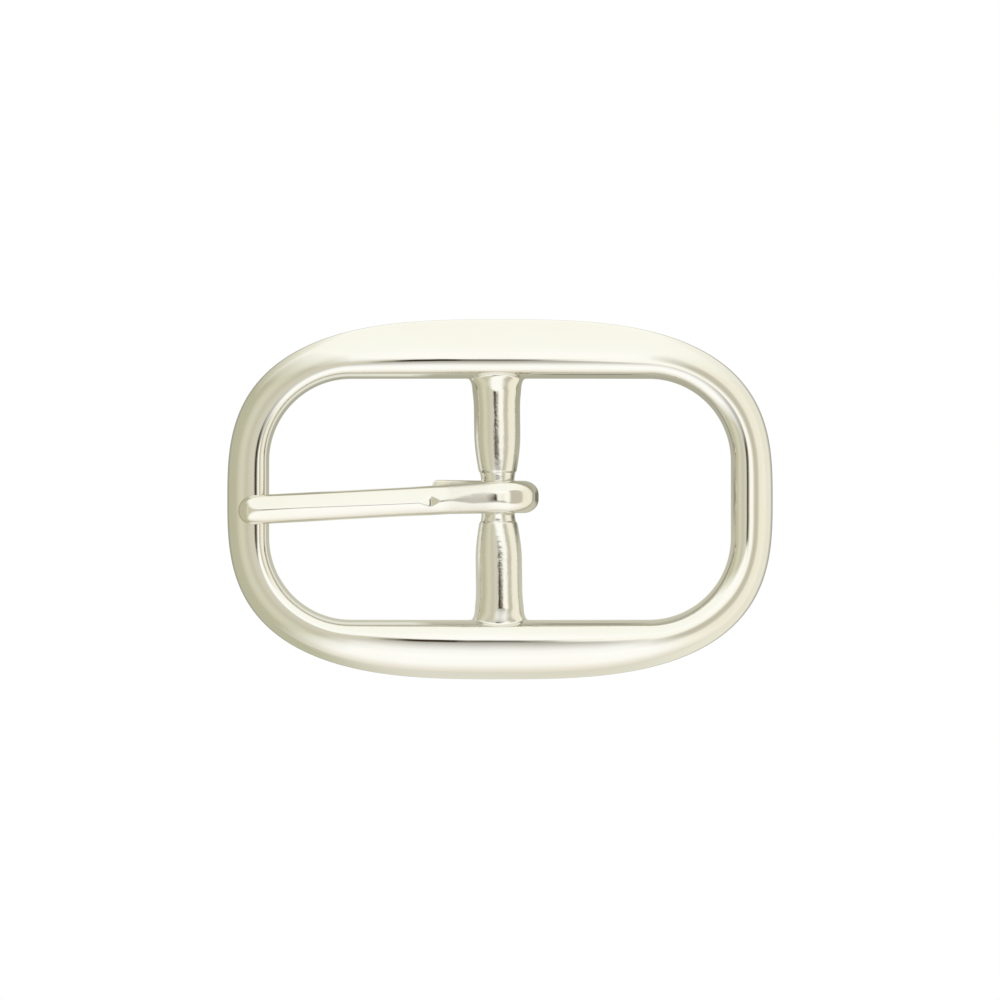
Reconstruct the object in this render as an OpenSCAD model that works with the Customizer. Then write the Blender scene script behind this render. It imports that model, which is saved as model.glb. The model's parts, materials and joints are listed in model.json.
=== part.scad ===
// Dress belt buckle: a cast frame with its centre bar, and a prong curled round the bar.
// It lies on its back. X runs along the belt, Y across the strap, and Z up out of the face.
// The origin is the middle of the frame's footprint, at the level that its two ends rest on.
// All sizes are in millimetres.

/* [Frame outline] */
// Length of the frame along the belt
frame_l = 70; // [68:1:72]
// Width of the frame across the strap
frame_w = 46; // [45:1:48]
// Fullness of the outer outline: 2 is an ellipse, more is squarer
outline_power = 2.9; // [2.7:0.1:3.1]
// Width of the strap that the bar takes
strap_w = 30; // [28:1:30]
// Width of the rail at the two ends
end_rail_w = 5.4; // [5:0.1:5.8]
// Radius of the window's corners
window_corner_r = 10.5; // [9:0.5:12]

/* [Frame section] */
// Thickness of the rail at the two ends
end_rail_t = 4; // [3.8:0.1:4.2]
// Thickness of the rail beside the bar
mid_rail_t = 5.8; // [5.4:0.1:6.2]
// How far the back arches up at the middle of the frame
arch_h = 2.2; // [1.8:0.1:2.3]
// Share of the rail's width that slopes up to the crest, at the two ends
end_crest_share = 0.61; // [0.59:0.01:0.64]
// Share of the rail's width that slopes up to the crest, beside the bar
mid_crest_share = 0.65; // [0.6:0.01:0.68]

/* [Bar] */
// Diameter of the bar's waist, which the prong turns on
waist_d = 4.5; // [4.3:0.1:4.6]
// Length of the waist
waist_l = 6.1; // [5.6:0.1:6.4]
// Width of the bar's two barrels, seen from above
barrel_w = 5.9; // [5.5:0.1:6.1]
// Height of the barrels
barrel_t = 4.9; // [4.6:0.1:4.9]
// How much each side of the bar flares out towards the rails
bar_flare_w = 0.45; // [0.3:0.05:0.7]
// Length of the flare
bar_flare_l = 4; // [3:0.5:5]
// Radius of the fillet between the flare and the rail
bar_fillet_r = 0.5; // [0.4:0.1:0.8]
// Height of the bar's axis above the surface
bar_z = 4.6; // [4.6:0.05:4.8]
// Where the bar stands along the frame, from its middle
bar_x = -0.25; // [-0.5:0.05:0.5]
// How far the bar's barrels lean along the frame, per millimetre across it
bar_lean = 0.012; // [0:0.002:0.02]
// Where the waist lies along the bar, from its middle
waist_y = 0.3; // [-0.5:0.05:0.5]

/* [Prong] */
// Distance from the bar's axis to the tip
prong_reach = 33.2; // [32.6:0.1:33.6]
// Width of the prong
prong_w = 3.8; // [3.5:0.1:4]
// Height of its half-round section
prong_t = 1.9; // [1.7:0.1:2]
// Width of the curl, where the bent section spreads
curl_w = 4.2; // [4:0.05:4.3]
// Radial clearance of the curl on the waist
pivot_gap = 0.08; // [0.05:0.01:0.1]
// Slack of the curl along the belt
curl_slack = 0.9; // [0.6:0.1:1]
// How far the prong drifts sideways per millimetre of its reach
prong_skew = 0.053; // [0:0.001:0.06]
// Angle at which the curl's tail closes against the underside
tail_angle = 31.5; // [30:0.5:34]

/* [Hidden] */

// outline of the frame and of its window
half_l = frame_l / 2;
half_w = frame_w / 2;
strap_clearance = 0.4;
window_half_l = half_l - end_rail_w;
window_half_w = strap_w / 2 + strap_clearance;
corner_centre_x = window_half_l - window_corner_r;
corner_centre_y = window_half_w - window_corner_r;
ring_stations = 96;

// the rail's section: its widest points, as shares of its thickness, and the power of each quarter
outer_edge_share = 0.4;
inner_edge_share = 0.5;
bevel_power = 1.6;
inner_power = 2.1;
back_power = 4;
quarter_steps = 4;
// depth that is ground off the back of the two ends, so that they lie flat
pad_cut = 0.6;

// the bar
waist_r = waist_d / 2;
barrel_rise_l = 5.9;
// the barrels start part of the way up their rise, and a step proud of the waist all round
barrel_start_l = 0.75;
barrel_step = 0.06;
bar_end_depth = 1.2;
bar_steps = 14;
bar_facets = 24;
waist_bury = 1;
barrel_start_r = waist_r / cos(180 / bar_facets) + barrel_step;

// the prong
bore_r = waist_r + pivot_gap;
liner_r = bore_r - 0.03;
rest_gap = 0.25;
// where the prong crosses the end rail's top, as a share of the rail's width from outside
rest_share = 0.7;
rest_x = half_l - rest_share * end_rail_w;
prong_slope = asin((bar_z + liner_r - end_rail_t - rest_gap) / (rest_x + bar_x));
tip_r = 1.9;
tip_bend_l = 3.2;
tip_drop = 0.6;
curl_t = 2.1;
under_t = 1.7;
tail_end_gap = 0.15;
tail_start = [-liner_r * sin(tail_angle), -liner_r * cos(tail_angle)];
tail_l = (liner_r - tail_end_gap - tail_start[1]) / sin(tail_angle);
tail_r = 0.8;

metal = [0.86, 0.85, 0.8];

// ---- shared shapes ----

function sign_power(value, exponent) = sign(value) * pow(abs(value), exponent);

function clamp(value, limit) = max(-limit, min(limit, value));

// A quarter of a superellipse with unit axes, at an angle from 0 to 90
function quarter(angle, power) = [pow(cos(angle), 2 / power), pow(sin(angle), 2 / power)];

// A solid skinned over rings of points. A looped skin joins its last ring to its first.
module skin(rings, looped = false) {
    count = len(rings);
    size = len(rings[0]);
    points = [for (ring = rings) each ring];
    sides = [
        for (i = [0 : looped ? count - 1 : count - 2])
            for (j = [0 : size - 1])
                let (next_i = (i + 1) % count)
                let (next_j = (j + 1) % size)
                each [
                    [i * size + j, next_i * size + next_j, i * size + next_j],
                    [i * size + j, next_i * size + j, next_i * size + next_j]
                ]
    ];
    first_cap = [for (j = [0 : size - 1]) j];
    last_cap = [for (j = [size - 1 : -1 : 0]) (count - 1) * size + j];
    caps = looped ? [] : [first_cap, last_cap];
    polyhedron(points, concat(sides, caps), convexity = 8);
}

// ---- frame ----

// 1 at the middle of the frame, falling to 0 at its two ends
function bulge(x) = 1 - pow(x / half_l, 2);

function back_z(x) = (arch_h + pad_cut) * bulge(x) - pad_cut;

function outline_point(angle) = [
    half_l * sign_power(cos(angle), 2 / outline_power),
    half_w * sign_power(sin(angle), 2 / outline_power)
];

// The point of the window's rounded rectangle that is nearest to a point outside it
function window_point(p) =
    let (core = [clamp(p[0], corner_centre_x), clamp(p[1], corner_centre_y)])
    core + window_corner_r * (p - core) / norm(p - core);

// The rail's section as [share of its width from outside, share of its height], once round
function rail_section(crest) = [
    for (i = [0 : quarter_steps - 1])
        let (q = quarter(i * 90 / quarter_steps, bevel_power))
        [crest * (1 - q[0]), outer_edge_share + (1 - outer_edge_share) * q[1]],
    for (i = [quarter_steps : -1 : 1])
        let (q = quarter(i * 90 / quarter_steps, inner_power))
        [crest + (1 - crest) * q[0], inner_edge_share + (1 - inner_edge_share) * q[1]],
    for (i = [0 : quarter_steps - 1])
        let (q = quarter(i * 90 / quarter_steps, back_power))
        [crest + (1 - crest) * q[0], inner_edge_share * (1 - q[1])],
    for (i = [quarter_steps : -1 : 1])
        let (q = quarter(i * 90 / quarter_steps, back_power))
        [crest * (1 - q[0]), outer_edge_share * (1 - q[1])]
];

function rail_ring(angle) =
    let (outer = outline_point(angle))
    let (inner = window_point(outer))
    let (share = bulge(outer[0]))
    let (crest = end_crest_share + (mid_crest_share - end_crest_share) * share)
    let (thickness = end_rail_t + (mid_rail_t - end_rail_t) * share)
    let (crest_z = back_z(outer[0] + crest * (inner[0] - outer[0])) + thickness)
    [
        for (s = rail_section(crest))
            let (p = outer + s[0] * (inner - outer))
            [p[0], p[1], (1 - s[1]) * back_z(p[0]) + s[1] * crest_z]
    ];

module rail() {
    skin([for (i = [0 : ring_stations - 1]) rail_ring(-i * 360 / ring_stations)], looped = true);
}

// How far a barrel has risen to its full size, at a distance from the waist
function barrel_rise(from_waist) = sin(90 * min(1, (from_waist + barrel_start_l) / barrel_rise_l));

// Half the bar's width, at distances from the waist and from the rail's wall
function bar_half_width(from_waist, to_wall) =
    let (flare = bar_flare_w * pow(max(0, 1 - to_wall / bar_flare_l), 2))
    let (into_fillet = clamp(max(0, bar_fillet_r - to_wall), bar_fillet_r))
    let (fillet = bar_fillet_r - sqrt(pow(bar_fillet_r, 2) - pow(into_fillet, 2)))
    barrel_start_r + (barrel_w / 2 - barrel_start_r) * barrel_rise(from_waist) + flare + fillet;

function bar_half_height(from_waist) =
    barrel_start_r + (barrel_t / 2 - barrel_start_r) * barrel_rise(from_waist);

// One barrel of the bar, from the waist to inside the rail, on the side that side names, 1 or -1
module barrel(side) {
    waist_end = waist_l / 2 + side * waist_y;
    barrel_l = window_half_w - waist_end;
    full_l = barrel_l + bar_end_depth;
    rings = [
        for (i = [0 : bar_steps])
            let (along = full_l * sin(90 * i / bar_steps))
            let (half_width = bar_half_width(along, barrel_l - along))
            let (half_height = bar_half_height(along))
            let (y = side * (waist_end + along))
            [
                for (j = [0 : bar_facets - 1])
                    let (angle = -j * 360 / bar_facets)
                    [half_width * cos(angle) - bar_lean * y, y, side * half_height * sin(angle)]
            ]
    ];
    translate([bar_x, 0, bar_z]) skin(rings);
}

module waist() {
    translate([bar_x, waist_y, bar_z])
        rotate([90, 0, 0])
            cylinder(r = waist_r, h = waist_l + 2 * waist_bury, center = true, $fn = 96);
}

// Everything below the surface that the two ends rest on
module ground_off() {
    translate([-half_l, -half_w, -pad_cut - 1]) cube([frame_l, frame_w, pad_cut + 1]);
}

module frame() {
    color(metal)
        difference() {
            union() {
                rail();
                waist();
                barrel(1);
                barrel(-1);
            }
            ground_off();
        }
}

// ---- prong ----

// A station of the prong is [x, y, z, outward x, outward z, width, height], with the bar's axis
// as its origin. x, y and z are the middle of its flat side, which faces the bar.
function prong_ring(s) = [
    for (i = [0 : 10])
        let (angle = i * 18)
        let (lift = s[6] * sin(angle))
        [s[0] + s[3] * lift, s[1] + s[5] / 2 * cos(angle), s[2] + s[4] * lift]
];

// How far a rounded end has grown to its full width, at a distance from its tip
function end_round(from_end, radius) =
    from_end < radius ? sqrt(1 - pow(1 - from_end / radius, 2)) : 1;

function shank_station(x) =
    let (from_tip = x + prong_reach)
    let (grown = end_round(from_tip, tip_r))
    let (bend = pow(max(0, 1 - from_tip / tip_bend_l), 2))
    let (spread = max(0, 1 + x / 6) * (curl_w - prong_w))
    [x, prong_skew * x, liner_r - tip_drop * bend, 0, 1, (prong_w + spread) * grown, prong_t * grown];

function curl_station(angle, centre_x, thickness) = [
    centre_x + liner_r * cos(angle),
    0,
    liner_r * sin(angle),
    cos(angle),
    sin(angle),
    curl_w,
    thickness
];

function tail_station(along) =
    let (x = tail_start[0] - along * cos(tail_angle))
    let (grown = end_round(tail_l - along, tail_r))
    let (width = curl_w - 0.5 * along / tail_l)
    [
        x,
        -prong_skew * (x - tail_start[0]),
        tail_start[1] + along * sin(tail_angle),
        -sin(tail_angle),
        -cos(tail_angle),
        width * grown,
        under_t * grown
    ];

tip_steps = [for (i = [1 : 6]) tip_r * (1 - cos(i * 15)) - prong_reach];
shank_steps = [for (i = [1 : 12]) tip_r - prong_reach + i * (prong_reach - tip_r) / 12];
tail_steps = [for (i = [1 : 4]) i * (tail_l - tail_r) / 4];
tail_end_steps = [for (i = [1 : 5]) tail_l - tail_r * (1 - sin(i * 16))];

prong_stations = [
    for (x = tip_steps) shank_station(x),
    for (x = shank_steps) shank_station(x),
    for (angle = [90 : -15 : -90]) curl_station(angle, curl_slack, curl_t - 0.2 * abs(sin(angle))),
    for (angle = [-90 : -8 : -90 - tail_angle]) curl_station(angle, 0, under_t),
    for (along = tail_steps) tail_station(along),
    for (along = tail_end_steps) tail_station(along)
];

module prong() {
    color(metal)
        difference() {
            translate([bar_x, waist_y, bar_z])
                rotate([0, -prong_slope, 0])
                    skin([for (s = prong_stations) prong_ring(s)]);
            translate([bar_x, waist_y, bar_z])
                rotate([90, 0, 0])
                    cylinder(r = bore_r, h = curl_w + 2, center = true, $fn = 96);
        }
}

frame();
prong();
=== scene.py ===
"""A dress belt buckle: the polished nickel frame and prong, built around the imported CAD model.

The buckle lies on its back on a pale floor, X along the belt, Y across the strap and Z up.
Shapes are worked out in millimetres and become metres when their mesh is made.
"""
import json

import bpy
import bmesh
import numpy as np
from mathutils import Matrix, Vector


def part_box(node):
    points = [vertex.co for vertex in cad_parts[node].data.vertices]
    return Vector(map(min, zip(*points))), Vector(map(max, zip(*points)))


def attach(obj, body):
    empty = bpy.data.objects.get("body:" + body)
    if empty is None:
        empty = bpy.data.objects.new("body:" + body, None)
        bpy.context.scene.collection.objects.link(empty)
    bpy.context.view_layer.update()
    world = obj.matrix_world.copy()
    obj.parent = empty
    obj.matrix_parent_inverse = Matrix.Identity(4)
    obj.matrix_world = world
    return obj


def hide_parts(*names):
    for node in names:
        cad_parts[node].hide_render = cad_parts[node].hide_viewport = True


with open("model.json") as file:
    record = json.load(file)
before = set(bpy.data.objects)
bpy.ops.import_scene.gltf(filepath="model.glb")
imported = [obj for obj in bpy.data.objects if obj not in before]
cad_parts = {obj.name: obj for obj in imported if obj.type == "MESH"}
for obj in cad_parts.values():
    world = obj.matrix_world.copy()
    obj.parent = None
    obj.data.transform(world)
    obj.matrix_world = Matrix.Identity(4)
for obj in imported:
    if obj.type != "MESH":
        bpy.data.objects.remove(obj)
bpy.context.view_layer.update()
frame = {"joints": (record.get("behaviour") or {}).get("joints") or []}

MM = 0.001

# ---- driving sizes: millimetres, and shares, powers and slopes without a unit ----

FRAME_LOW, FRAME_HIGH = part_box("frame")
HALF_L = (FRAME_HIGH.x - FRAME_LOW.x) / 2 / MM
HALF_W = (FRAME_HIGH.y - FRAME_LOW.y) / 2 / MM
PIVOT = Vector(frame["joints"][0]["pos_m"]) / MM

# the outline is a superellipse, and the window a rectangle with round corners
OUTLINE_POWER = 2.9
WINDOW_HALF_L = HALF_L - 5.4
WINDOW_HALF_W = 15.4
WINDOW_CORNER_R = 10.5

# the rail's thickness, the arch of its back, and where its crest runs across its width
END_RAIL_T = 4.0
MID_RAIL_T = 5.8
ARCH_H = 2.2
PAD_CUT = 0.6
END_CREST_SHARE = 0.66
END_CREST_DRIFT = 0.07
MID_CREST_SHARE = 0.665
MID_CREST_DRIFT = 0.017
# how far up the sides turn into the slopes, and the powers that round the slopes and the back
OUTER_EDGE_SHARE = 0.4
INNER_EDGE_SHARE = 0.5
END_BEVEL_POWER = 1.75
MID_BEVEL_POWER = 1.6
END_INNER_POWER = 1.85
MID_INNER_POWER = 2.1
BACK_POWER = 4.0

# the bar: a waist between two creases, and two barrels that flare into the rails
WAIST_R = 2.25
WAIST_HALF_L = 3.05
CREASE_DEPTH = 0.08
CREASE_HALF_L = 0.16
BARREL_HALF_W = 2.95
BARREL_HALF_T = 2.65
WAIST_WEAR = 0.16
BARREL_LEAD_L = 0.75
BARREL_RISE_L = 5.9
BARREL_SWELL_L = 2.2
STEP_L = 0.5
FLARE_W = 0.45
FLARE_L = 4.0
BAR_LEAN = 0.012
CROWN_SHIFT = 0.3
CROWN_SHIFT_AT = (2.5, 7.0)

# the prong: a shank, a curl round the waist, and a tail that comes back under the shank
PRONG_REACH = 33.2
PRONG_W = 3.8
PRONG_T = 1.9
CURL_W = 4.2
CURL_T = 2.1
UNDER_T = 1.7
CURL_SLACK = 0.9
PRONG_SKEW = 0.053
TAIL_ANGLE = np.radians(31.5)
LINER_R = WAIST_R + 0.05
REST_GAP = 0.25
REST_SHARE = 0.7
TAIL_END_GAP = 0.15
TAIL_END_R = 0.5


# ---- mesh helpers ----


class Mesh:
    """Points and faces that rows of a skin add to, made into one object at the end."""

    def __init__(self):
        self.points = []
        self.faces = []

    def add(self, points):
        """Adds points and returns their indices."""
        first = len(self.points)
        self.points.extend([float(c) for c in p] for p in points)
        return list(range(first, len(self.points)))

    def skin(self, rows):
        """Joins rows of indices, each a closed ring, with quads."""
        for a, b in zip(rows, rows[1:]):
            for j in range(len(a)):
                k = (j + 1) % len(a)
                self.faces.append((a[j], a[k], b[k], b[j]))

    def make(self, name):
        """The finished object, in metres, smooth and subdivided once."""
        mesh = bpy.data.meshes.new(name)
        mesh.from_pydata([[c * MM for c in p] for p in self.points], [], self.faces)
        work = bmesh.new()
        work.from_mesh(mesh)
        loose = [v for v in work.verts if not v.link_faces]
        bmesh.ops.delete(work, geom=loose, context="VERTS")
        bmesh.ops.recalc_face_normals(work, faces=work.faces)
        for face in work.faces:
            face.smooth = True
        work.to_mesh(mesh)
        work.free()
        made = bpy.data.objects.new(name, mesh)
        bpy.context.scene.collection.objects.link(made)
        subdivide = made.modifiers.new("smooth", "SUBSURF")
        subdivide.levels = 1
        subdivide.render_levels = 1
        return made


def sign_power(value, exponent):
    """A power of a value's size that keeps its sign."""
    return np.sign(value) * np.abs(value) ** exponent


def quarter(angle, power):
    """A quarter of a superellipse with unit axes, at an angle from 0 to a right angle."""
    return np.abs(np.cos(angle)) ** (2 / power), np.abs(np.sin(angle)) ** (2 / power)


def even_steps(points, parameter, count):
    """Values of a curve's parameter at count even steps along its length, ends included."""
    lengths = np.linalg.norm(np.diff(points, axis=0), axis=1)
    run = np.concatenate([[0], np.cumsum(lengths)])
    return np.interp(np.linspace(0, run[-1], count), run, parameter)


def ease(value, low, high):
    """0 at low, 1 at high and smooth between them."""
    t = np.clip((value - low) / (high - low), 0, 1)
    return t * t * (3 - 2 * t)


def unit(vectors):
    """Vectors of length 1 with the same directions."""
    return vectors / np.linalg.norm(vectors, axis=-1, keepdims=True)


# ---- the frame: rail ----

STATIONS = 304
BEVEL_STEPS = 16
INNER_STEPS = 12
BACK_STEPS = 12
FINE_POINTS = 2000
FINE_OUTLINE_POINTS = 14401

# rough sizes of the slopes and the back beside the bar, by which their points are spaced
BEVEL_W = 4.9
BEVEL_H = 3.5
INNER_W = 2.7
INNER_H = 2.9
OUTER_BACK_H = 2.3


def bulge(x):
    """1 at the middle of the frame, falling to 0 at its two ends."""
    return 1 - (x / HALF_L) ** 2


def back_z(x):
    """Height of the arched back."""
    return (ARCH_H + PAD_CUT) * bulge(x) - PAD_CUT


def outline_point(angle):
    """A point of the outline, or several, by the superellipse's angle."""
    x = HALF_L * sign_power(np.cos(angle), 2 / OUTLINE_POWER)
    y = HALF_W * sign_power(np.sin(angle), 2 / OUTLINE_POWER)
    return np.stack([x, y], axis=-1)


def window_point(outer):
    """The points of the window's rounded rectangle that are nearest to the outline's."""
    core_size = np.array([WINDOW_HALF_L, WINDOW_HALF_W]) - WINDOW_CORNER_R
    core = np.clip(outer, -core_size, core_size)
    return core + WINDOW_CORNER_R * unit(outer - core)


def even_quarter(power, width, height, count):
    """Angles of even steps along a quarter of a superellipse, from its side to its top."""
    fine = np.linspace(0, np.pi / 2, FINE_POINTS)
    across, up = quarter(fine, power)
    return even_steps(np.stack([across * width, up * height], axis=-1), fine, count + 1)


def rail_section(crest, bevel_power, inner_power):
    """The section as [share of the width from outside, share of the height], once round."""
    bevel = even_quarter(bevel_power, BEVEL_W, BEVEL_H, BEVEL_STEPS)[:-1]
    inner = even_quarter(inner_power, INNER_W, INNER_H, INNER_STEPS)[:0:-1]
    inner_back = even_quarter(BACK_POWER, INNER_W, INNER_H, BACK_STEPS)[:-1]
    outer_back = even_quarter(BACK_POWER, BEVEL_W, OUTER_BACK_H, BACK_STEPS)[:0:-1]
    across, up = quarter(bevel, bevel_power)
    parts = [[crest * (1 - across), OUTER_EDGE_SHARE + (1 - OUTER_EDGE_SHARE) * up]]
    across, up = quarter(inner, inner_power)
    parts.append([crest + (1 - crest) * across, INNER_EDGE_SHARE + (1 - INNER_EDGE_SHARE) * up])
    across, up = quarter(inner_back, BACK_POWER)
    parts.append([crest + (1 - crest) * across, INNER_EDGE_SHARE * (1 - up)])
    across, up = quarter(outer_back, BACK_POWER)
    parts.append([crest * (1 - across), OUTER_EDGE_SHARE * (1 - up)])
    return np.concatenate([np.stack(part, axis=-1) for part in parts])


def rail_grid():
    """Points of the rail, as stations round the frame by points round the section."""
    fine = np.linspace(0, 2 * np.pi, FINE_OUTLINE_POINTS)
    angles = even_steps(outline_point(fine), fine, STATIONS + 1)[:-1]
    rows = []
    for angle in angles:
        outer = outline_point(angle)
        inner = window_point(outer)
        share = bulge(outer[0])
        end_crest = END_CREST_SHARE - END_CREST_DRIFT * outer[0] / HALF_L
        mid_crest = MID_CREST_SHARE + MID_CREST_DRIFT * outer[1] / HALF_W
        crest = end_crest + (mid_crest - end_crest) * share
        bevel_power = END_BEVEL_POWER + (MID_BEVEL_POWER - END_BEVEL_POWER) * share
        inner_power = END_INNER_POWER + (MID_INNER_POWER - END_INNER_POWER) * share
        thickness = END_RAIL_T + (MID_RAIL_T - END_RAIL_T) * share
        section = rail_section(crest, bevel_power, inner_power)
        plan = outer + section[:, :1] * (inner - outer)
        crest_x = outer[0] + crest * (inner[0] - outer[0])
        up = section[:, 1]
        height = (1 - up) * back_z(plan[:, 0]) + up * (back_z(crest_x) + thickness)
        rows.append(np.column_stack([plan, np.maximum(height, 0)]))
    return np.array(rows)


# ---- the frame: bar ----

# the hole in the rail's mesh that the bar grows out of, in stations and section points
HOLE_STATIONS = 9
HOLE_TOP = 20
HOLE_BOTTOM = 38
SEARCH_STATIONS = 8
SKIRT_ROWS = 3

# the fillet: its foot on the wall, and how strongly it follows the wall and the bar
FOOT_HALF_W = 3.75
FOOT_UP = 2.4
FOOT_DOWN = 2.7
FILLET_L = 1.6
FILLET_ROWS = 9
FOOT_INWARD = 0.97
WALL_HUG = 0.3
WALL_HUG_BESIDE = 0.6
BAR_HUG = 0.9

# the bar's rings: close together at the creases, counted from the crease, and wider elsewhere
CREASE_RINGS = np.array([-0.45, -0.3, -0.2, -0.1, 0, 0.1, 0.2, 0.32, 0.5])
BARREL_RINGS = 20
BARREL_RINGS_FROM = 0.8
WAIST_RINGS = 5
WAIST_RINGS_HALF_L = 2.1


def bar_x(y):
    """Where the bar's axis is at y: it leans a little."""
    return PIVOT.x - BAR_LEAN * y


def bar_ring(y, turns):
    """Points round the bar at y, where turns are angles from +X towards +Z."""
    from_crease = abs(y - PIVOT.y) - WAIST_HALF_L
    to_wall = WINDOW_HALF_W - abs(y)
    flare = FLARE_W * max(0, 1 - to_wall / FLARE_L) ** 2
    rise = np.sin(np.pi / 2 * np.clip((from_crease + BARREL_LEAD_L) / BARREL_RISE_L, 0, 1))
    on_barrel = np.clip(from_crease / STEP_L + 0.5, 0, 1)
    crease = CREASE_DEPTH * np.exp(-((from_crease / CREASE_HALF_L) ** 2))
    half_width = WAIST_R + ((BARREL_HALF_W - WAIST_R) * rise + flare) * on_barrel - crease
    swell = 1 - np.exp(-max(0, from_crease) / BARREL_SWELL_L)
    # the prong has worn the waist a little hollow
    wear = WAIST_WEAR * np.clip(-from_crease, 0, 1)
    half_width -= wear
    half_height = WAIST_R + (BARREL_HALF_T - WAIST_R) * swell - wear - crease
    # towards -Y the top of the bar stands a little to +X
    crown = CROWN_SHIFT * ease(-y, *CROWN_SHIFT_AT)
    x = bar_x(y) + half_width * np.cos(turns) + crown * np.sin(turns)
    z = PIVOT.z + half_height * np.sin(turns)
    return np.column_stack([x, np.full(len(turns), y), z])


def surface(grid, places):
    """Points of the rail between its grid points, at fractional (station, section) places."""
    stations, sections = grid.shape[:2]
    whole = np.floor(places).astype(int)
    part = places - whole

    def weights(t):
        """Catmull-Rom weights of the four grid points round a place."""
        return np.stack([
            -0.5 * t**3 + t**2 - 0.5 * t,
            1.5 * t**3 - 2.5 * t**2 + 1,
            -1.5 * t**3 + 2 * t**2 + 0.5 * t,
            0.5 * t**3 - 0.5 * t**2,
        ], axis=-1)

    along = weights(part[:, 0])
    across = weights(part[:, 1])
    points = np.zeros((len(places), 3))
    for a in range(4):
        for b in range(4):
            i = (whole[:, 0] + a - 1) % stations
            j = (whole[:, 1] + b - 1) % sections
            points += (along[:, a] * across[:, b])[:, None] * grid[i, j]
    return points


class Junction:
    """Where the bar grows out of the rail's inner wall, on one side of the frame."""

    def __init__(self, grid, side):
        self.grid = grid
        self.side = side
        self.middle = self.find_middle()
        self.first = int(round(self.middle[0])) - HOLE_STATIONS
        self.last = int(round(self.middle[0])) + HOLE_STATIONS

    def find_middle(self):
        """The (station, section) place on the inner wall that the bar's axis points at."""
        edge = BEVEL_STEPS + INNER_STEPS
        quarter_way = STATIONS // 4 if self.side > 0 else 3 * STATIONS // 4
        stations = quarter_way + np.arange(-SEARCH_STATIONS, SEARCH_STATIONS + 1)
        wanted_x = bar_x(self.side * WINDOW_HALF_W)
        order = np.argsort(self.grid[stations, edge, 0])
        station = np.interp(wanted_x, self.grid[stations, edge, 0][order], stations[order])
        wall_sections = np.arange(edge - 4, edge + 6)
        wall_z = self.grid[quarter_way, wall_sections, 2]
        section = np.interp(-PIVOT.z, -wall_z, wall_sections)
        return np.array([station, section])

    def covers(self, i, j):
        """Whether the hole takes up the rail's face at station i and section point j."""
        return self.first <= i < self.last and HOLE_TOP <= j < HOLE_BOTTOM

    def edge(self):
        """The hole's edge as (station, section), turning from +X towards +Z."""
        stations = list(range(self.first, self.last + 1))
        if self.side > 0:
            stations.reverse()
        edge = [(stations[-1], j) for j in range(HOLE_BOTTOM, HOLE_TOP, -1)]
        edge += [(i, HOLE_TOP) for i in stations[:0:-1]]
        edge += [(stations[0], j) for j in range(HOLE_TOP, HOLE_BOTTOM)]
        edge += [(i, HOLE_BOTTOM) for i in stations[:-1]]
        return edge

    def foot(self, turns, size=1.0):
        """Places round the foot of the bar's fillet, on the rail's surface."""
        at = self.middle.astype(int)
        station_step = np.linalg.norm(self.grid[at[0] + 1, at[1]] - self.grid[at[0], at[1]])
        up_step = np.linalg.norm(self.grid[at[0], at[1] - 3] - self.grid[at[0], at[1] - 2])
        down_step = np.linalg.norm(self.grid[at[0], at[1] + 3] - self.grid[at[0], at[1] + 2])
        right = np.cos(turns) * FOOT_HALF_W / station_step
        up = np.sin(turns)
        rise = np.where(up > 0, up * FOOT_UP / up_step, up * FOOT_DOWN / down_step)
        return self.middle + size * np.column_stack([-self.side * right, -rise])

    def rows(self, turns):
        """Rows of points from the hole's edge, along the wall, and up the fillet to the bar."""
        edge = np.array(self.edge(), dtype=float)
        foot = self.foot(turns)
        rows = []
        for k in range(1, SKIRT_ROWS + 1):
            t = k / (SKIRT_ROWS + 1)
            rows.append(surface(self.grid, edge + t * (foot - edge)))
        start = surface(self.grid, foot)
        rows.append(start)
        inward = surface(self.grid, self.foot(turns, FOOT_INWARD)) - start
        end = bar_ring(self.side * (WINDOW_HALF_W - FILLET_L), turns)
        reach = np.linalg.norm(end - start, axis=1, keepdims=True)
        # beside the bar the fillet hugs the wall for longer than above and below it
        hug = WALL_HUG + WALL_HUG_BESIDE * np.abs(np.cos(turns))[:, None]
        start_way = unit(inward) * reach * hug
        end_way = np.array([self.side * BAR_LEAN, -self.side, 0]) * reach * BAR_HUG
        for k in range(1, FILLET_ROWS):
            rows.append(hermite(start, start_way, end, end_way, k / FILLET_ROWS))
        return rows


def foot_turns():
    """An angle for each point of a junction's edge, with its corners on the diagonals."""
    up = HOLE_BOTTOM - HOLE_TOP
    along = 2 * HOLE_STATIONS
    quarter_turn = np.pi / 2
    return np.concatenate([
        (k - 0.5) * quarter_turn + quarter_turn * np.arange(count) / count
        for k, count in enumerate([up, along, up, along])
    ])


def hermite(start, start_way, end, end_way, t):
    """A point of the cubic from start to end that sets out along one way and arrives along another."""
    return (
        (2 * t**3 - 3 * t**2 + 1) * start
        + (t**3 - 2 * t**2 + t) * start_way
        + (3 * t**2 - 2 * t**3) * end
        + (t**3 - t**2) * end_way
    )


def bar_places():
    """Where the bar's rings stand, from the top fillet to the bottom one."""
    reach = WINDOW_HALF_W - FILLET_L
    places = []
    for side in (1, -1):
        crease = WAIST_HALF_L + side * PIVOT.y
        near = crease + CREASE_RINGS
        far = np.linspace(crease + BARREL_RINGS_FROM, reach, BARREL_RINGS)
        places += [side * y for y in near] + [side * y for y in far]
    places += list(PIVOT.y + np.linspace(-WAIST_RINGS_HALF_L, WAIST_RINGS_HALF_L, WAIST_RINGS))
    return sorted(places, reverse=True)


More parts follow.
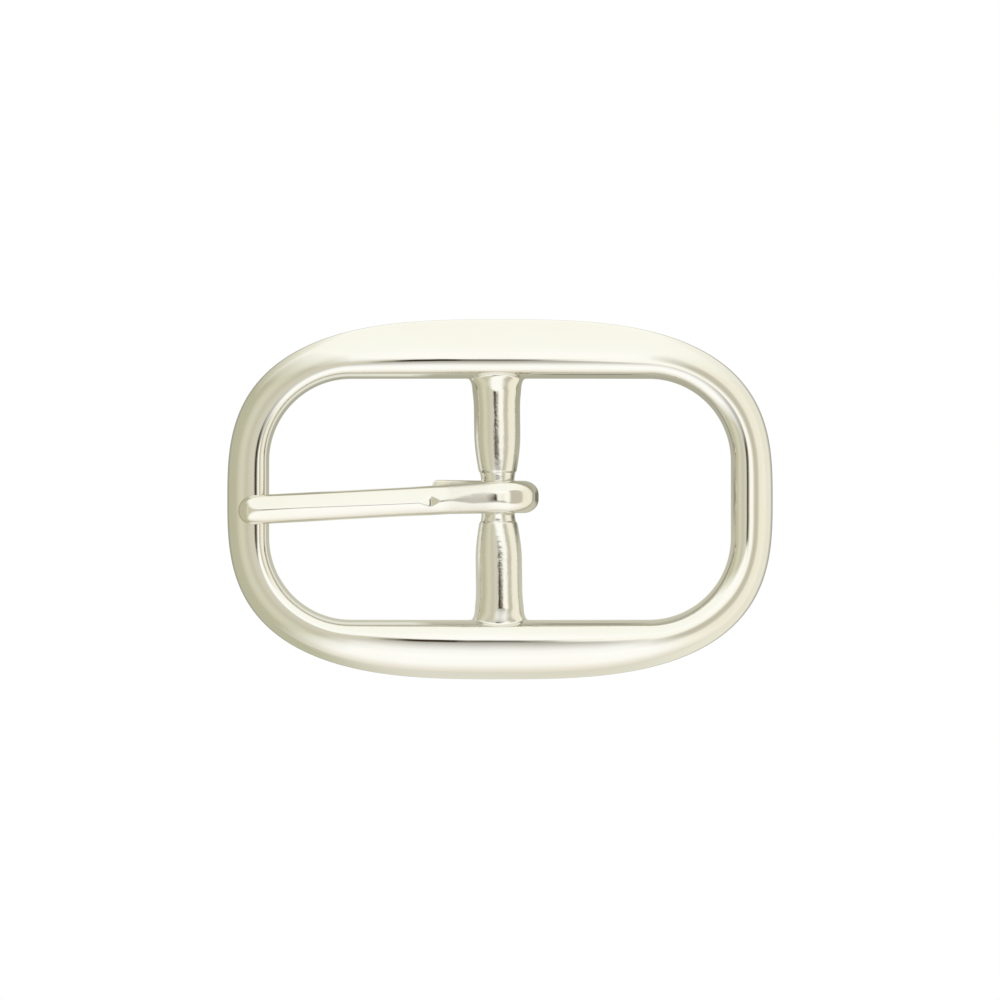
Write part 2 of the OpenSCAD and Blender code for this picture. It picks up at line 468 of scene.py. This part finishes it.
def build_frame():
    """The frame as one skin: the rail, a junction on each side, and the bar between them."""
    grid = rail_grid()
    mesh = Mesh()
    ids = np.array(mesh.add(grid.reshape(-1, 3))).reshape(grid.shape[:2])
    junctions = [Junction(grid, 1), Junction(grid, -1)]
    stations, sections = ids.shape
    for i in range(stations):
        for j in range(sections):
            if not any(junction.covers(i, j) for junction in junctions):
                next_i = (i + 1) % stations
                next_j = (j + 1) % sections
                mesh.faces.append((ids[i, j], ids[next_i, j], ids[next_i, next_j], ids[i, next_j]))
    turns = foot_turns()
    ends = []
    for junction in junctions:
        rows = [[ids[i, j] for i, j in junction.edge()]]
        rows += [mesh.add(row) for row in junction.rows(turns)]
        ends.append(rows)
    bar = [mesh.add(bar_ring(y, turns)) for y in bar_places()]
    mesh.skin(ends[0] + bar + ends[1][::-1])
    return mesh.make("polished_frame")


# ---- the prong ----

TIP_R = 1.9
TIP_BEND_L = 3.2
TIP_DROP = 0.6
TIP_ROUND_AT = (1.0, 3.5)
SPREAD_L = 6
TAIL_TAPER = 0.5
TAIL_CUT = 0.36

# the section: a ridge that falls towards steep sides, over a flat liner side
RIDGE_FALL = 0.6
RIDGE_POWER = 1.2
SIDE_POWER = 14
FLANK_SPACING = 1.3
FLANK_STEPS = 9
LINER_POINTS = 5

# the ridge leaves the middle near the bar and comes most of the way back towards the tip
RIDGE_DRIFT = 0.25
RIDGE_DRIFT_AT = (3.0, 10.0)
RIDGE_RETURN = 0.2
RIDGE_RETURN_AT = (10.0, 28.0)

# where the top of the prong is struck flat: distance from the bar, depth below the ridge
STRUCK_AT = [-30.5, -28.5, -25.0, -9.6, -8.3, -7.1, -5.5, -2.9, 0.2, 2.0, 3.0, 4.6]
STRUCK_DEPTH = [0.05, 0.04, 0.02, 0.016, 0.36, 0.06, 0.06, 0.38, 0.36, 0.36, 0.24, 0.16]

# heights along the prong: it swells before the bar, falls off past the crown and grows round
# the curl, where the growth makes up for the depth struck off
NECK_SWELL = 0.3
NECK_SWELL_AT = (-7.0, -2.5)
CROWN_FALL = 0.3
CROWN_FALL_AT = [0.2, 1.1, 2.0]
CROWN_FALL_SHARE = [0, 0.55, 1]
CURL_GROWTH = CURL_T - PRONG_T + STRUCK_DEPTH[-1]
CURL_GROWTH_FROM = 1.6
ROUND_TOP_AT = (1.0, 4.5)

# spacing of the rings along the shank, its struck part and the curl
SHANK_STEP = 0.6
STRUCK_STEP = 0.2
STRUCK_FROM = -10.2
CURL_STEP = 5
TAIL_STEP = 0.5


def prong_slope():
    """The angle that the prong tips down by, from the bar to the end rail that it rests on."""
    rest_x = HALF_L - REST_SHARE * (HALF_L - WINDOW_HALF_L)
    return np.arcsin((PIVOT.z + LINER_R - END_RAIL_T - REST_GAP) / (rest_x + PIVOT.x))


def end_round(from_end, radius):
    """How far a rounded end has grown to its full width, at a distance from its tip."""
    return np.sqrt(1 - (1 - from_end / radius) ** 2) if from_end < radius else 1.0


def prong_ring(place, outward, width, height, cut, roundness, shift):
    """A ring round the prong: over its ridge or its struck flat, then back under its liner side.

    cut is how deep the ridge is struck flat, roundness goes from 0 for a ridged top to 1
    for a round one, and shift is how far the ridge stands to one side.
    """
    flat = (cut / (RIDGE_FALL * height)) ** (1 / RIDGE_POWER)
    flank = np.cos(np.linspace(0, np.pi / 2, FLANK_STEPS + 1)) ** FLANK_SPACING
    across = flat + (1 - flat) * flank
    ridged = (1 - RIDGE_FALL * across**RIDGE_POWER) * np.sqrt(1 - across**SIDE_POWER)
    rounded = np.sqrt(1 - flank**2) * (1 - cut / height)
    lift = ridged + (rounded - ridged) * roundness
    liner = np.linspace(-1, 1, LINER_POINTS + 2)[1:-1]
    across = np.concatenate([across, [0], -across[::-1], liner])
    lift = np.concatenate([lift, [lift[-1]], lift[::-1], np.zeros(LINER_POINTS)])
    side = across * width / 2 + shift * lift * (1 - across**2)
    return np.column_stack([
        place[0] + outward[0] * lift * height,
        place[1] + side,
        place[2] + outward[1] * lift * height,
    ])


def prong_top(x):
    """The struck depth, roundness and ridge shift of the prong's top, along it."""
    cut = np.interp(x, STRUCK_AT, STRUCK_DEPTH)
    roundness = ease(x, *ROUND_TOP_AT)
    shift = RIDGE_RETURN * ease(-x, *RIDGE_RETURN_AT) - RIDGE_DRIFT * ease(-x, *RIDGE_DRIFT_AT)
    return cut, roundness, shift


def prong_height(along):
    """Height of the prong's section, by the distance along its liner side from over the bar."""
    swell = NECK_SWELL * ease(along, *NECK_SWELL_AT)
    fall = CROWN_FALL * np.interp(along, CROWN_FALL_AT, CROWN_FALL_SHARE)
    growth = CURL_GROWTH * ease(along, CURL_GROWTH_FROM, CURL_SLACK + LINER_R * np.pi / 2)
    return PRONG_T + swell - fall + growth


def shank_ring(x):
    """A ring of the straight shank, with the bar's axis at x = 0 and the tip towards -X."""
    from_tip = x + PRONG_REACH
    grown = end_round(from_tip, TIP_R)
    bend = max(0, 1 - from_tip / TIP_BEND_L) ** 2
    spread = max(0, 1 + x / SPREAD_L) * (CURL_W - PRONG_W)
    place = (x, PRONG_SKEW * x, LINER_R - TIP_DROP * bend)
    width = (PRONG_W + spread) * grown
    cut, roundness, shift = prong_top(x)
    roundness = max(roundness, 1 - ease(from_tip, *TIP_ROUND_AT))
    return prong_ring(place, (0, 1), width, prong_height(x) * grown, cut, roundness, shift)


def curl_ring(angle, centre_x):
    """A ring of the curl, at an angle from +X towards +Z round an axis at centre_x."""
    place = (centre_x + LINER_R * np.cos(angle), 0, LINER_R * np.sin(angle))
    outward = (np.cos(angle), np.sin(angle))
    along = centre_x + (np.pi / 2 - angle) * LINER_R
    if angle > 0:
        thickness = prong_height(along)
    elif angle > -np.pi / 2:
        thickness = CURL_T - (CURL_T - UNDER_T) * abs(np.sin(angle))
    else:
        thickness = UNDER_T
    return prong_ring(place, outward, CURL_W, thickness, *prong_top(along))


def tail_ring(along, start, length):
    """A ring of the tail, at a distance along it from where it leaves the curl."""
    x = start[0] - along * np.cos(TAIL_ANGLE)
    z = start[1] + along * np.sin(TAIL_ANGLE)
    grown = end_round(length - along, TAIL_END_R)
    width = (CURL_W - TAIL_TAPER * along / length) - 2 * TAIL_END_R * (1 - grown)
    height = UNDER_T - TAIL_END_R * (1 - grown)
    outward = (-np.sin(TAIL_ANGLE), -np.cos(TAIL_ANGLE))
    place = (x, -PRONG_SKEW * (x - start[0]), z)
    return prong_ring(place, outward, width, height, TAIL_CUT, 1.0, 0)


def prong_rings():
    """Rings from the prong's tip, over and round the bar, to the end of its tail."""
    turns = np.radians(np.arange(6, 90, 7))
    rings = [shank_ring(TIP_R * (1 - np.cos(turn)) - PRONG_REACH) for turn in turns]
    even = np.arange(TIP_R - PRONG_REACH, STRUCK_FROM - STRUCK_STEP, SHANK_STEP)
    struck = np.arange(STRUCK_FROM, CURL_SLACK - STRUCK_STEP / 2, STRUCK_STEP)
    rings += [shank_ring(x) for x in np.concatenate([even, struck])]
    rings += [curl_ring(np.radians(a), CURL_SLACK) for a in np.arange(90, -90, -CURL_STEP)]
    rings += [curl_ring(np.radians(a), 0) for a in (-90, -98, -106, -114)]
    start = (-LINER_R * np.sin(TAIL_ANGLE), -LINER_R * np.cos(TAIL_ANGLE))
    length = (LINER_R - TAIL_END_GAP - start[1]) / np.sin(TAIL_ANGLE)
    straight = np.arange(0, length - 2 * TAIL_END_R, TAIL_STEP)
    rings += [tail_ring(along, start, length) for along in straight]
    rounding = np.radians(np.arange(0, 90, 15))
    rings += [tail_ring(length - TAIL_END_R * (1 - np.sin(a)), start, length) for a in rounding]
    return rings


def build_prong():
    """The prong as one skin, turned about the bar until its tip rests on the end rail."""
    slope = prong_slope()
    turn = np.array([
        [np.cos(slope), 0, -np.sin(slope)],
        [0, 1, 0],
        [np.sin(slope), 0, np.cos(slope)],
    ])
    mesh = Mesh()
    rows = [mesh.add(ring @ turn.T + np.array(PIVOT)) for ring in prong_rings()]
    mesh.skin(rows)
    mesh.faces.append(rows[0])
    mesh.faces.append(rows[-1][::-1])
    return mesh.make("polished_prong")


# ---- shader helpers ----


class Nodes:
    """A short way to add and join shader nodes."""

    def __init__(self, tree):
        self.tree = tree

    def add(self, kind, **values):
        """A new node, with each value set on its input socket or its property of that name."""
        node = self.tree.nodes.new(kind)
        for name, value in values.items():
            if name in node.inputs:
                node.inputs[name].default_value = value
            else:
                setattr(node, name, value)
        return node

    def join(self, output, target):
        self.tree.links.new(output, target)

    def math(self, operation, a, b=None):
        node = self.add("ShaderNodeMath", operation=operation)
        for place, value in enumerate((a, b)):
            if value is None:
                continue
            if isinstance(value, (int, float)):
                node.inputs[place].default_value = value
            else:
                self.join(value, node.inputs[place])
        return node.outputs[0]

    def scaled(self, value, low, high):
        """A value from low to high as 0 to 1, held at both ends."""
        node = self.add("ShaderNodeMapRange", **{"From Min": low, "From Max": high})
        self.join(value, node.inputs["Value"])
        return node.outputs["Result"]

    def away(self, value, middle):
        """How far a value is from a middle, on either side."""
        return self.math("ABSOLUTE", self.math("SUBTRACT", value, middle))

    def ramp(self, factor, stops):
        """A colour ramp over (place, (r, g, b)) stops."""
        node = self.add("ShaderNodeValToRGB")
        elements = node.color_ramp.elements
        while len(elements) < len(stops):
            elements.new(1.0)
        for element, (place, colour) in zip(elements, stops):
            element.position = place
            element.color = (*colour, 1)
        self.join(factor, node.inputs["Fac"])
        return node.outputs["Color"]

    def blend(self, factor, low, high):
        """A colour that goes from low to high as the factor goes from 0 to 1."""
        mix = self.add("ShaderNodeMix", data_type="RGBA")
        self.join(factor, mix.inputs[0])
        for place, value in ((6, low), (7, high)):
            if isinstance(value, tuple):
                mix.inputs[place].default_value = (*value, 1)
            else:
                self.join(value, mix.inputs[place])
        return mix.outputs[2]

    def shade(self, factor, low, high):
        """A shader that goes from low to high as the factor goes from 0 to 1."""
        mix = self.add("ShaderNodeMixShader")
        for place, value in enumerate((factor, low, high)):
            self.join(value, mix.inputs[place])
        return mix.outputs[0]

    def around(self, x, y, left, right, down, up, start):
        """Four colours that take over from each other with the direction in the XY plane.

        start is the share of the direction that is crosswise where down and up come in.
        """
        x_squared = self.math("POWER", x, 2.0)
        y_squared = self.math("POWER", y, 2.0)
        total = self.math("MAXIMUM", self.math("ADD", x_squared, y_squared), 1e-9)
        lengthwise = self.blend(self.scaled(x, -0.03, 0.03), left, right)
        crosswise = self.blend(self.scaled(y, -0.02, 0.02), down, up)
        share = self.math("SUBTRACT", self.math("DIVIDE", y_squared, total), start)
        return self.blend(self.scaled(share, 0, 0.43), lengthwise, crosswise)


# ---- materials ----

FRAME_TINT = (0.80, 0.785, 0.73)
PRONG_TINT = (0.80, 0.78, 0.72)
THIN_PLATING = (0.99, 0.975, 0.945)

# roughness of the best and the least polished places
POLISHED = 0.03
BRUSHED = 0.10

# noise sizes, in waves to the metre, and heights as shares of the bump's
TINT_WAVES = 90.0
GLOSS_WAVES = 260.0
HAND_WAVES = 210.0
HAND_WAVE_H = 2.4
RIPPLES = 900.0
RIPPLE_H = 0.12
GRAIN = 2300.0
BUMP_H = 0.000012

# |y| at which the rough skin has gone, and at which it starts to go, short of the rails
SKIN_ENDS = (0.0156, 0.0145)
# share of the skin's half size that is rough all over
SKIN_CORE = 0.6


def nickel(name, tint, skin_middle, skin_half, skin_depth, skin_rough):
    """Polished nickel plating.

    skin_middle and skin_half, in metres, mark where the rough skin under it shows through.
    skin_depth is the height of its grain and skin_rough what it adds to the roughness.
    """
    material = bpy.data.materials.new(name)
    material.use_nodes = True
    tree = material.node_tree
    nodes = Nodes(tree)
    shader = tree.nodes["Principled BSDF"]
    shader.inputs["Metallic"].default_value = 1.0
    place = nodes.add("ShaderNodeTexCoord").outputs["Object"]

    def noise(scale, detail):
        node = nodes.add("ShaderNodeTexNoise", Scale=scale, Detail=detail)
        nodes.join(place, node.inputs["Vector"])
        return node.outputs["Fac"]

    # colour drifts a little where the plating is thinner
    warm = tuple(c * w for c, w in zip(tint, THIN_PLATING))
    colour = nodes.ramp(noise(TINT_WAVES, 3.0), [(0.45, tint), (0.8, warm)])
    nodes.join(colour, shader.inputs["Base Color"])
    # polishing leaves the gloss slightly uneven
    rough = nodes.add("ShaderNodeMapRange", **{"To Min": POLISHED, "To Max": BRUSHED})
    nodes.join(noise(GLOSS_WAVES, 4.0), rough.inputs["Value"])
    # hand polishing leaves slow waves, and the skin under the plating a finer grain
    split = nodes.add("ShaderNodeSeparateXYZ")
    nodes.join(place, split.inputs[0])
    on_skin = nodes.scaled(nodes.math("ABSOLUTE", split.outputs[1]), *SKIN_ENDS)
    for output, middle, half in zip(split.outputs[:2], skin_middle, skin_half):
        inside = nodes.scaled(nodes.away(output, middle), half, half * SKIN_CORE)
        on_skin = nodes.math("MULTIPLY", on_skin, inside)
    matt = nodes.math("ADD", rough.outputs["Result"], nodes.math("MULTIPLY", on_skin, skin_rough))
    nodes.join(matt, shader.inputs["Roughness"])
    grain = nodes.math("MULTIPLY", nodes.math("MULTIPLY", noise(GRAIN, 2.0), on_skin), skin_depth)
    waves = nodes.math("MULTIPLY", noise(HAND_WAVES, 1.0), HAND_WAVE_H)
    ripples = nodes.math("MULTIPLY", noise(RIPPLES, 2.0), RIPPLE_H)
    height = nodes.math("ADD", nodes.math("ADD", waves, ripples), grain)
    bump_node = nodes.add("ShaderNodeBump", Strength=1.0, Distance=BUMP_H)
    nodes.join(height, bump_node.inputs["Height"])
    nodes.join(bump_node.outputs["Normal"], shader.inputs["Normal"])
    return material


def frame_nickel():
    """The frame's plating, with the rough skin left on the bar."""
    return nickel(
        "nickel_frame", FRAME_TINT,
        skin_middle=(-0.00025, 0.0), skin_half=(0.004, 0.0156), skin_depth=1.6, skin_rough=0.07,
    )


def prong_nickel():
    """The prong's plating, with the rough skin left on the struck flat beside the bar."""
    return nickel(
        "nickel_prong", PRONG_TINT,
        skin_middle=(-0.0040, 0.0003), skin_half=(0.0037, 0.004), skin_depth=1.2, skin_rough=0.26,
    )


# ---- studio ----

DARK_OPENING = (52, 40, 30)
# painted contact shadow that the metal mirrors from the floor right round the outline
CONTACT_SHADE = (150, 146, 134)
WHITE = (1, 1, 1, 1)

FLOOR_HALF_L = 1.5
FLOOR_Z = -0.00005

VIEW_WIDTH = 0.128
VIEW_CENTRE_Y = -0.00009
FACE_Z = 0.003


def to_linear(value):
    """The linear strength of a display value from 0 to 255."""
    part = value / 255
    return part / 12.92 if part < 0.04045 else ((part + 0.055) / 1.055) ** 2.4


def shows_as(red, green, blue):
    """The light that the plating mirrors as this display colour."""
    return tuple(to_linear(c) / tint for c, tint in zip((red, green, blue), FRAME_TINT))


def studio_world():
    """A light tent, brightest to +Y, with the camera's dark opening overhead.

    Each wall is a list of (degrees from overhead, colour that the plating shows). What stands
    behind the buckle is plain white.
    """
    world = bpy.data.worlds.new("light_tent")
    bpy.context.scene.world = world
    world.use_nodes = True
    tree = world.node_tree
    nodes = Nodes(tree)
    way = nodes.add("ShaderNodeTexCoord").outputs["Generated"]
    split = nodes.add("ShaderNodeSeparateXYZ")
    nodes.join(way, split.inputs[0])
    x, y, z = split.outputs
    from_overhead = nodes.math("DIVIDE", nodes.math("ARCCOSINE", z), float(np.pi))

    def wall(*stops):
        return nodes.ramp(from_overhead, [(angle / 180, shows_as(*tone)) for angle, tone in stops])

    up = wall(
        (5, (254, 253, 245)), (25, (254, 253, 245)), (45, (249, 249, 238)), (95, (248, 247, 233)),
    )
    down = wall(
        (6, (160, 152, 138)), (11, (178, 175, 163)), (18, (190, 188, 178)), (28, (225, 222, 214)),
        (37, (247, 247, 240)), (50, (255, 254, 247)), (68, (252, 251, 242)), (82, (235, 229, 214)),
        (95, (218, 214, 197)),
    )
    right = wall(
        (5, (217, 214, 200)), (9, (240, 238, 224)), (13, (252, 250, 238)), (25, (250, 248, 234)),
        (31, (212, 208, 190)), (36, (192, 187, 168)), (47, (198, 193, 173)), (55, (236, 231, 211)),
        (80, (240, 236, 216)), (95, (228, 225, 207)),
    )
    left = wall(
        (10, (200, 196, 178)), (15, (209, 206, 186)), (30, (204, 200, 179)), (38, (196, 191, 169)),
        (52, (208, 207, 182)), (62, (205, 202, 177)), (76, (186, 183, 157)), (95, (184, 182, 155)),
    )
    # the walls to +Y and -Y reach further round close to overhead, and lower down +Y's does most
    lean = nodes.scaled(from_overhead, 20 / 180, 40 / 180)
    far = nodes.math("ADD", nodes.math("MULTIPLY", nodes.scaled(y, 0.05, -0.05), 0.10), 0.18)
    start = nodes.math("ADD", nodes.math("MULTIPLY", lean, far), 0.12)
    tent = nodes.around(x, y, left, right, down, up, start)
    spot_across = nodes.ramp(nodes.scaled(x, -0.30, 0.20), [
        (0.04, (0, 0, 0)), (0.14, (0.5, 0.5, 0.5)), (0.24, (1, 1, 1)), (0.40, (1, 1, 1)),
        (0.46, (0.65, 0.65, 0.65)), (0.68, (0.55, 0.55, 0.55)), (0.84, (0, 0, 0)),
    ])
    spot_along = nodes.ramp(nodes.scaled(y, -0.25, 0.15), [
        (0.12, (0, 0, 0)), (0.26, (0.6, 0.6, 0.6)), (0.36, (1, 1, 1)), (0.72, (1, 1, 1)),
        (0.86, (0, 0, 0)),
    ])
    overhead = nodes.math("GREATER_THAN", z, 0.0)
    spot = nodes.math("MULTIPLY", nodes.math("MULTIPLY", spot_across, spot_along), overhead)
    background = tree.nodes["Background"]
    nodes.join(nodes.blend(spot, tent, shows_as(*DARK_OPENING)), background.inputs["Color"])
    plain = nodes.add("ShaderNodeBackground", Color=WHITE)
    straight_on = nodes.add("ShaderNodeLightPath").outputs["Is Camera Ray"]
    seen = nodes.shade(straight_on, background.outputs[0], plain.outputs[0])
    nodes.join(seen, tree.nodes["World Output"].inputs["Surface"])


def outline_level(nodes, x, y):
    """1 on the buckle's outline, less inside it and more outside."""
    powers = []
    for place, half in ((x, HALF_L), (y, HALF_W)):
        share = nodes.math("DIVIDE", nodes.math("ABSOLUTE", place), half * MM)
        powers.append(nodes.math("POWER", share, OUTLINE_POWER))
    return nodes.math("POWER", nodes.math("ADD", *powers), 1 / OUTLINE_POWER)


def floor_in_window(nodes, x, y):
    """What the metal mirrors of the floor inside the window: painted shade, with painted light beside
    the shank and a painted shadow behind the curl.
    """
    # painted shade on the floor inside the window, darker towards +Y
    across = nodes.scaled(y, -0.012, 0.012)
    tone = nodes.blend(across, shows_as(196, 194, 174), shows_as(168, 166, 146))
    # painted light on the floor: brighter on both sides of the shank
    painted_light_beside_shank = nodes.math(
        "MULTIPLY",
        nodes.scaled(nodes.away(x, -0.0165), 0.0075, 0.0045),
        nodes.scaled(nodes.math("ABSOLUTE", y), 0.0105, 0.0075),
    )
    tone = nodes.blend(painted_light_beside_shank, tone, shows_as(226, 224, 210))
    # painted shadow of the curl on the floor: darker behind it
    painted_shadow_behind_curl = nodes.math(
        "MULTIPLY",
        nodes.scaled(nodes.away(x, 0.0125), 0.0085, 0.0050),
        nodes.scaled(nodes.away(y, PIVOT.y * MM), 0.0045, 0.0015),
    )
    return nodes.blend(painted_shadow_behind_curl, tone, shows_as(120, 117, 104))


def floor_outside(nodes, x, y):
    """What the metal mirrors of the floor round the buckle: the tent's light and shade painted on it.
    """
    # painted light: the bright end to +Y reaches further round than the one to -Y
    start = nodes.math("ADD", nodes.math("MULTIPLY", nodes.scaled(y, 0.002, -0.002), 0.32), 0.18)
    return nodes.around(
        x, y,
        left=shows_as(183, 181, 154), right=shows_as(230, 227, 209),
        down=shows_as(218, 215, 198), up=shows_as(248, 247, 234), start=start,
    )


def floor_material():
    """White as seen, and with painted light and shade as mirrored. Its back is open, so the buckle
    shows from below.
    """
    material = bpy.data.materials.new("white_floor")
    material.use_nodes = True
    tree = material.node_tree
    nodes = Nodes(tree)
    tree.nodes.remove(tree.nodes["Principled BSDF"])
    split = nodes.add("ShaderNodeSeparateXYZ")
    nodes.join(nodes.add("ShaderNodeTexCoord").outputs["Object"], split.inputs[0])
    x, y = split.outputs[:2]
    level = outline_level(nodes, x, y)
    # painted contact shadow just round the outline, fading into the painted tent light further out
    painted_contact_shade_fade = nodes.scaled(level, 1.02, 1.11)
    outside = nodes.blend(painted_contact_shade_fade, shows_as(*CONTACT_SHADE), floor_outside(nodes, x, y))
    tone = nodes.blend(nodes.scaled(level, 0.86, 0.98), floor_in_window(nodes, x, y), outside)
    mirrored = nodes.add("ShaderNodeEmission")
    nodes.join(tone, mirrored.inputs["Color"])
    white = nodes.add("ShaderNodeEmission", Color=WHITE)
    straight_on = nodes.add("ShaderNodeLightPath").outputs["Is Camera Ray"]
    seen = nodes.shade(straight_on, mirrored.outputs[0], white.outputs[0])
    on_back = nodes.add("ShaderNodeNewGeometry").outputs["Backfacing"]
    nothing = nodes.add("ShaderNodeBsdfTransparent").outputs[0]
    nodes.join(nodes.shade(on_back, seen, nothing), tree.nodes["Material Output"].inputs["Surface"])
    return material


def studio_floor():
    """A white floor. The metal mirrors painted shade on it beside the buckle and inside its window."""
    half = FLOOR_HALF_L
    corners = [(-half, -half, 0), (half, -half, 0), (half, half, 0), (-half, half, 0)]
    mesh = bpy.data.meshes.new("floor")
    mesh.from_pydata(corners, [], [(0, 1, 2, 3)])
    mesh.materials.append(floor_material())
    floor = bpy.data.objects.new("floor", mesh)
    floor.location.z = FLOOR_Z
    bpy.context.scene.collection.objects.link(floor)


def studio_camera():
    """Straight above the face, through a long lens."""
    data = bpy.data.cameras.new("camera")
    data.lens = 200
    data.sensor_width = 36
    data.clip_end = 10
    camera = bpy.data.objects.new("camera", data)
    distance = VIEW_WIDTH * data.lens / data.sensor_width
    camera.location = (0, VIEW_CENTRE_Y, FACE_Z + distance)
    bpy.context.scene.collection.objects.link(camera)
    bpy.context.scene.camera = camera


# ---- the whole scene ----

frame_piece = build_frame()
frame_piece.data.materials.append(frame_nickel())
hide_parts("frame")
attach(frame_piece, "frame")

prong_piece = build_prong()
prong_piece.data.materials.append(prong_nickel())
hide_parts("prong")
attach(prong_piece, "prong")

studio_world()
studio_floor()
studio_camera()
bpy.context.scene.view_settings.view_transform = "Standard"
